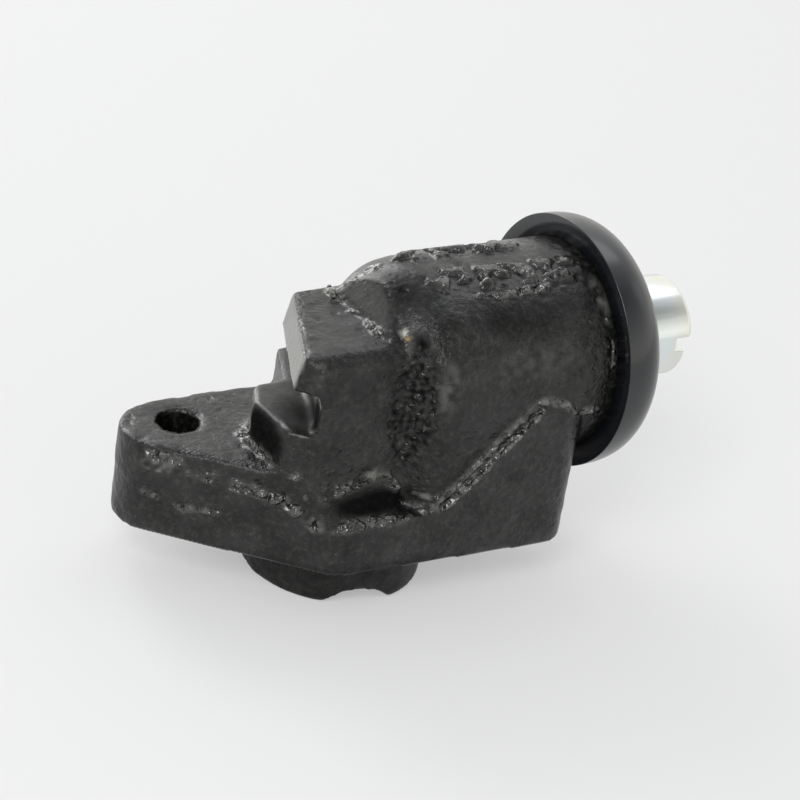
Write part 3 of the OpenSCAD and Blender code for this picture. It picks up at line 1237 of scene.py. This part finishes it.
@dataclass
class DustBoot:
    """The rubber boot: a thick ring on the barrel and a domed front that closes on the stem.

    Sizes are in millimetres.
    """

    wall_l: float = 5.2
    edge_r: float = 0.12
    fullness: float = 2.9
    front_t: float = 1.7
    lip_r: float = 7.7
    seat_gap: float = 0.05
    # share of its radius at which the hollow inside starts, clear of the ring's wall
    inside_start: float = 0.94
    steps: int = 128
    arc_steps: int = 24

    def __post_init__(self) -> None:
        """Takes the boot's place from the frame."""
        low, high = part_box("dust_boot")
        self.x0 = low.x / MM
        self.x1 = high.x / MM
        self.outer_r = (high.z - low.z) / 2 / MM
        self.axis_z = (high.z + low.z) / 2 / MM
        self.barrel_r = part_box("body")[1].z / MM - self.axis_z

    def profile(self) -> list[tuple[float, float]]:
        """Half section of the boot.

        Returns:
            Points as distance along the bore and radius, in millimetres, round the section.
        """
        front_x = self.x0 + self.wall_l
        reach = self.x1 - front_x
        edge = self.edge_r
        quarter = [math.pi / 2 * i / self.arc_steps for i in range(self.arc_steps + 1)]
        power = 2 / self.fullness
        outside = [
            (
                self.x0 + (self.x1 - self.x0) * math.sin(t) ** power,
                self.lip_r + (self.outer_r - self.lip_r) * math.cos(t) ** power,
            )
            for t in quarter
        ]
        inside = [
            (
                front_x + (reach - self.front_t) * math.sin(t),
                self.lip_r + (self.outer_r - self.lip_r - self.front_t) * math.cos(t),
            )
            for t in reversed(quarter)
            if math.cos(t) < self.inside_start
        ]
        corner = [
            (self.x0 + edge * (1 - math.cos(t)), self.outer_r - edge * (1 - math.sin(t))) for t in quarter
        ]
        seat_r = self.barrel_r + self.seat_gap
        return [
            (self.x0, seat_r),
            (self.x0, self.outer_r - 2 * edge),
            *corner,
            *[(x, r) for x, r in outside if x > self.x0 + 2 * edge],
            *inside,
            (front_x - self.seat_gap, seat_r),
        ]

    def build(self) -> bpy.types.Object:
        """Spins the section round the bore's axis.

        Returns:
            The finished piece.
        """
        bm = bmesh.new()
        ring = [bm.verts.new((x * MM, 0, (self.axis_z + r) * MM)) for x, r in self.profile()]
        edges = [bm.edges.new((a, b)) for a, b in zip(ring, ring[1:] + ring[:1])]
        bmesh.ops.spin(
            bm,
            geom=[*ring, *edges],
            cent=(0, 0, self.axis_z * MM),
            axis=(1, 0, 0),
            angle=2 * math.pi,
            steps=self.steps,
            use_merge=True,
        )
        bmesh.ops.remove_doubles(bm, verts=bm.verts, dist=MERGE)
        bmesh.ops.recalc_face_normals(bm, faces=bm.faces)
        return new_piece("rubber_boot", bm)

    def dress(self, piece: bpy.types.Object) -> None:
        """Gives the boot its rubber, and lets its front follow the piston.

        Args:
            piece: the boot.
        """
        piece.data.materials.append(MouldedRubber().build())
        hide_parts("dust_boot")
        start = (self.x0 + self.wall_l) * MM
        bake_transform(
            piece,
            Body.CASTING.value,
            Body.PISTON_GROUP.value,
            start=(start, 0, self.axis_z * MM),
            end=(self.x1 * MM, 0, self.axis_z * MM),
        )


@dataclass
class Piston:
    """The zinc-plated piston, with the burr taken off its edges, in millimetres and degrees."""

    edge: float = 0.25
    edge_steps: int = 3
    sharp_deg: float = 25.0
    flat_deg: float = 0.5

    def build(self) -> bpy.types.Object:
        """Copies the turned form and breaks its edges.

        Returns:
            The finished piece.
        """
        bm = copy_of_node("piston")
        bmesh.ops.dissolve_limit(
            bm,
            angle_limit=math.radians(self.flat_deg),
            verts=bm.verts,
            edges=bm.edges,
            delimit=set(),
        )
        piece = new_piece("plated_piston", bm)
        bevel = piece.modifiers.new("broken_edges", "BEVEL")
        bevel.width = self.edge * MM
        bevel.segments = self.edge_steps
        bevel.limit_method = "ANGLE"
        bevel.angle_limit = math.radians(self.sharp_deg)
        bevel.harden_normals = True
        return piece

    def dress(self, piece: bpy.types.Object) -> None:
        """Gives the piston its plate and its place.

        Args:
            piece: the piston.
        """
        piece.data.materials.append(ZincPlate().build())
        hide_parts("piston")
        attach(piece, Body.PISTON_GROUP.value)


@dataclass
class InnerParts:
    """What works behind the piston: cup, spreader and spring."""

    rubber: MouldedRubber = MouldedRubber(
        "moulded_cup_rubber", dark="101112", pale="1a1b1c", roughness=0.3
    )
    pressed: ZincPlate = ZincPlate(
        "pressed_steel_plate", cool="8c9092", warm="9a9a90", roughness=0.35
    )
    wire: ZincPlate = ZincPlate("drawn_spring_wire", cool="7e8286", warm="8b8b86", roughness=0.3)

    def build(self) -> bpy.types.Object:
        """Copies the spring, which is squeezed between the blind end and the spreader.

        Returns:
            The spring's piece.
        """
        return new_piece("coil_spring", copy_of_node("cup_spring"))

    def dress(self, spring: bpy.types.Object) -> None:
        """Gives each inner piece its finish, and lets the spring follow the piston.

        Args:
            spring: the spring's piece.
        """
        for node, finish in (("cup_seal", self.rubber), ("cup_spreader", self.pressed)):
            frame["nodes"][node].data.materials.clear()
            frame["nodes"][node].data.materials.append(finish.build())
        spring.data.materials.append(self.wire.build())
        low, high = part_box("cup_spring")
        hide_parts("cup_spring")
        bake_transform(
            spring,
            Body.CASTING.value,
            Body.PISTON_GROUP.value,
            start=(low.x, 0, (low.z + high.z) / 2),
            end=(high.x, 0, (low.z + high.z) / 2),
        )


@dataclass(frozen=True)
class Softbox:
    """A square soft light: where it hangs and its side in millimetres, and its power in watts."""

    name: str
    place: tuple[float, float, float]
    side: float
    power: float


@dataclass
class Studio:
    """Pale floor, soft light and the camera, in millimetres and degrees."""

    aim: tuple[float, float, float] = (9.3, 0.3, 20.1)
    azimuth: float = -36.14
    elevation: float = 28.31
    roll: float = 9.60
    distance: float = 488.7
    near_clip: float = 10.0
    lens: float = 136.9
    sensor: float = 36.0
    floor_half: float = 3000.0
    floor_colour: str = "9b9b9b"
    floor_roughness: float = 0.9
    floor_glow: float = 0.38
    low_tint: str = "faf8f1"
    high_tint: str = "f2f5fa"
    horizon: float = 1.3
    zenith: float = 0.3
    bright: float = 1.2
    bright_way: tuple[float, float, float] = (0.2, 0.8, 0.55)
    softboxes: tuple[Softbox, ...] = (
        Softbox("side", (620.0, 320.0, 990.0), 500.0, 1.0),
        Softbox("back", (20.0, 810.0, 590.0), 400.0, 3.2),
        Softbox("low", (0.0, 950.0, 170.0), 350.0, 1.2),
        Softbox("rim", (1020.0, -180.0, 620.0), 300.0, 0.12),
        Softbox("front", (-550.0, -450.0, 700.0), 500.0, 6.0),
    )

    def add_camera(self) -> None:
        """Stands the camera at the view's angle, rolled as the view is."""
        data = bpy.data.cameras.new("view")
        data.lens = self.lens
        data.sensor_width = self.sensor
        data.clip_start = self.near_clip * MM
        camera = bpy.data.objects.new("view", data)
        turn = math.radians(self.azimuth)
        rise = math.radians(self.elevation)
        back = Vector(
            (math.sin(turn) * math.cos(rise), -math.cos(turn) * math.cos(rise), math.sin(rise))
        )
        place = (Vector(self.aim) + back * self.distance) * MM
        pose = (-back).to_track_quat("-Z", "Y").to_matrix().to_4x4()
        camera.matrix_world = (
            Matrix.Translation(place) @ pose @ Matrix.Rotation(math.radians(self.roll), 4, "Z")
        )
        bpy.context.scene.collection.objects.link(camera)
        bpy.context.scene.camera = camera

    def add_floor(self) -> None:
        """Lays a pale matt floor under the spigot's end that glows a little, painted light that keeps its
        shadows faint.
        """
        bm = bmesh.new()
        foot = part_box("body")[0].z
        bmesh.ops.create_grid(
            bm,
            x_segments=1,
            y_segments=1,
            size=self.floor_half * MM,
            matrix=Matrix.Translation((0, 0, foot)),
        )
        floor = new_piece("floor", bm, smooth=False)
        material, _, shader = new_material("glowing_white_paper")
        shader.inputs["Base Color"].default_value = srgb(self.floor_colour)
        shader.inputs["Roughness"].default_value = self.floor_roughness
        # painted light: the floor glows though it is no lamp
        shader.inputs["Emission Color"].default_value = srgb("ffffff")
        shader.inputs["Emission Strength"].default_value = self.floor_glow
        floor.data.materials.append(material)

    def hang(self, softbox: Softbox) -> None:
        """Hangs a soft light that faces the part.

        Args:
            softbox: the light.
        """
        data = bpy.data.lights.new(softbox.name, "AREA")
        data.shape = "SQUARE"
        data.size = softbox.side * MM
        data.energy = softbox.power
        light = bpy.data.objects.new(softbox.name, data)
        light.location = Vector(softbox.place) * MM
        light.rotation_mode = "QUATERNION"
        toward = Vector(self.aim) - Vector(softbox.place)
        light.rotation_quaternion = toward.to_track_quat("-Z", "Y")
        bpy.context.scene.collection.objects.link(light)

    def add_light(self) -> None:
        """Sets a surround that is brightest behind the part and dimmest overhead, and the soft lights."""
        world = bpy.data.worlds.new("surround")
        bpy.context.scene.world = world
        world.use_nodes = True
        tree = world.node_tree
        toward = add_node(tree, "ShaderNodeTexCoord").outputs["Generated"]
        lean = add_node(
            tree,
            "ShaderNodeVectorMath",
            {0: toward, 1: Vector(self.bright_way).normalized()},
            operation="DOT_PRODUCT",
        )
        behind = add_node(
            tree,
            "ShaderNodeMapRange",
            {"Value": lean.outputs["Value"], "From Min": 0.1, "From Max": 0.9},
            interpolation_type="SMOOTHSTEP",
        )
        height = add_node(tree, "ShaderNodeSeparateXYZ", {0: toward}).outputs["Z"]
        ceiling = add_node(
            tree,
            "ShaderNodeMapRange",
            {
                "Value": height,
                "From Min": 0.1,
                "From Max": 0.8,
                "To Min": self.horizon,
                "To Max": self.zenith,
            },
            interpolation_type="SMOOTHSTEP",
        )
        level = add_node(
            tree,
            "ShaderNodeMix",
            {"Factor": behind.outputs["Result"], "A": ceiling.outputs["Result"], "B": self.bright},
            data_type="FLOAT",
        )
        tint = add_node(
            tree,
            "ShaderNodeMix",
            {"Factor": height, "A": srgb(self.low_tint), "B": srgb(self.high_tint)},
            data_type="RGBA",
        )
        surround = tree.nodes["Background"]
        tree.links.new(tint.outputs["Result"], surround.inputs["Color"])
        tree.links.new(level.outputs["Result"], surround.inputs["Strength"])
        for softbox in self.softboxes:
            self.hang(softbox)
        bpy.context.scene.view_settings.view_transform = "Standard"


def main() -> None:
    """Builds and dresses each sub-assembly, then the studio round it."""
    logging.basicConfig(level=logging.INFO, format="%(message)s")
    for assembly in (Casting(), DustBoot(), Piston(), InnerParts()):
        piece = assembly.build()
        assembly.dress(piece)
        log.info("%s: %d faces", piece.name, len(piece.data.polygons))
    studio = Studio()
    studio.add_camera()
    studio.add_floor()
    studio.add_light()


if __name__ == "__main__":
    main()
